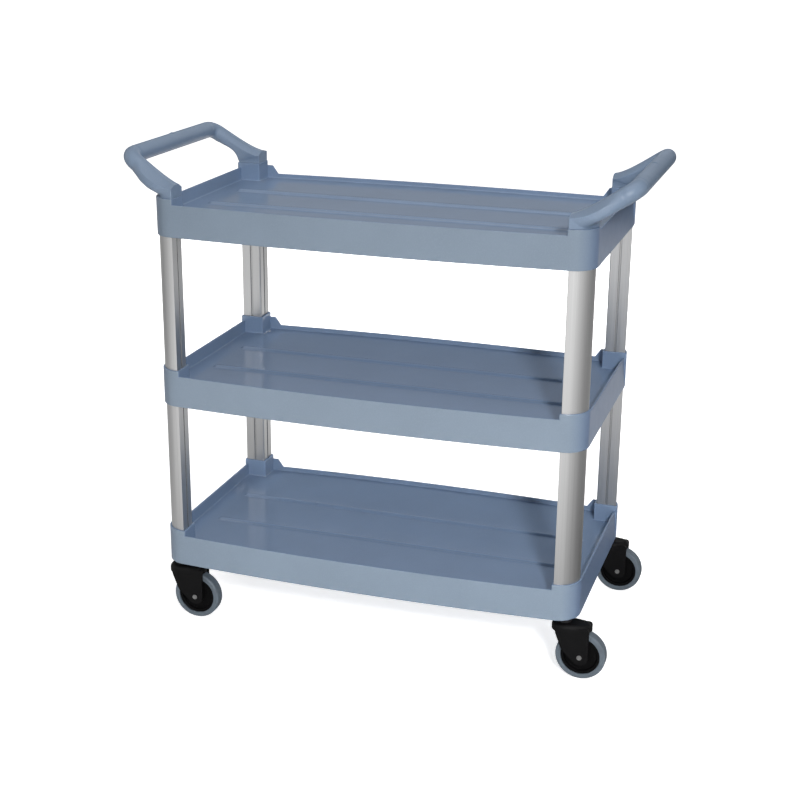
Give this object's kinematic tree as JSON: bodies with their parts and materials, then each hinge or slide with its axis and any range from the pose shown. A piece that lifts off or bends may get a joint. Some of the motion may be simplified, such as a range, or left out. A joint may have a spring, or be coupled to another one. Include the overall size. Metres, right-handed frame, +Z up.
{
  "type": "tray return trolley",
  "caption": "Shelved tray return trolley with bow-sided moulded trays on quarter-round aluminium uprights, loop push handles at both ends and swivel casters.",
  "frame": {"origin": "on the floor under the middle of the trolley", "axes": "+Z up, +X along the length, +Y towards the side with the lowered lip; the tall lip faces -Y"},
  "size_m": [1.0026, 0.492, 0.9574],
  "materials": {
    "tray_plastic": "moulded, semi-gloss blue grey",
    "handle_plastic": "moulded, satin blue grey",
    "upright_aluminium": "extruded, satin anodised",
    "screw_steel": "zinc plated",
    "plug_plastic": "moulded black",
    "stem_steel": "zinc plated",
    "fork_plastic": "moulded black, fine texture",
    "axle_steel": "bright rivet head",
    "core_plastic": "moulded black",
    "tyre_rubber": "smooth grey non-marking tread"
  },
  "bodies": {
    "frame": {"shelf_bottom": "tray_plastic", "shelf_middle": "tray_plastic", "shelf_top": "tray_plastic", "upright_lower_fl": "upright_aluminium", "upright_lower_fr": "upright_aluminium", "upright_lower_bl": "upright_aluminium", "upright_lower_br": "upright_aluminium", "upright_upper_fl": "upright_aluminium", "upright_upper_fr": "upright_aluminium", "upright_upper_bl": "upright_aluminium", "upright_upper_br": "upright_aluminium", "shelf_screws": "screw_steel", "handle_left": "handle_plastic", "handle_right": "handle_plastic", "plug_fl": "plug_plastic", "plug_fr": "plug_plastic", "plug_bl": "plug_plastic", "plug_br": "plug_plastic", "stem_fl": "stem_steel", "stem_fr": "stem_steel", "stem_bl": "stem_steel", "stem_br": "stem_steel"},
    "caster_fl": {"fork_fl": "fork_plastic", "axle_fl": "axle_steel"},
    "wheel_fl": {"wheel_core_fl": "core_plastic", "tyre_fl": "tyre_rubber"},
    "caster_fr": {"fork_fr": "fork_plastic", "axle_fr": "axle_steel"},
    "wheel_fr": {"wheel_core_fr": "core_plastic", "tyre_fr": "tyre_rubber"},
    "caster_bl": {"fork_bl": "fork_plastic", "axle_bl": "axle_steel"},
    "wheel_bl": {"wheel_core_bl": "core_plastic", "tyre_bl": "tyre_rubber"},
    "caster_br": {"fork_br": "fork_plastic", "axle_br": "axle_steel"},
    "wheel_br": {"wheel_core_br": "core_plastic", "tyre_br": "tyre_rubber"}
  },
  "joints": [
    {"name": "swivel_fl", "type": "hinge", "parent": "frame", "child": "caster_fl", "pos_m": [-0.3987, -0.2017, 0.106], "axis": [0, 0, 1], "continuous": true},
    {"name": "spin_fl", "type": "hinge", "parent": "caster_fl", "child": "wheel_fl", "pos_m": [-0.3644, -0.2017, 0.0484], "axis": [0, 1, 0], "continuous": true},
    {"name": "swivel_fr", "type": "hinge", "parent": "frame", "child": "caster_fr", "pos_m": [0.3987, -0.2017, 0.106], "axis": [0, 0, 1], "continuous": true},
    {"name": "spin_fr", "type": "hinge", "parent": "caster_fr", "child": "wheel_fr", "pos_m": [0.433, -0.2017, 0.0484], "axis": [0, 1, 0], "continuous": true},
    {"name": "swivel_bl", "type": "hinge", "parent": "frame", "child": "caster_bl", "pos_m": [-0.3987, 0.2017, 0.106], "axis": [0, 0, 1], "continuous": true},
    {"name": "spin_bl", "type": "hinge", "parent": "caster_bl", "child": "wheel_bl", "pos_m": [-0.3644, 0.2017, 0.0484], "axis": [0, 1, 0], "continuous": true},
    {"name": "swivel_br", "type": "hinge", "parent": "frame", "child": "caster_br", "pos_m": [0.3987, 0.2017, 0.106], "axis": [0, 0, 1], "continuous": true},
    {"name": "spin_br", "type": "hinge", "parent": "caster_br", "child": "wheel_br", "pos_m": [0.433, 0.2017, 0.0484], "axis": [0, 1, 0], "continuous": true}
  ]
}
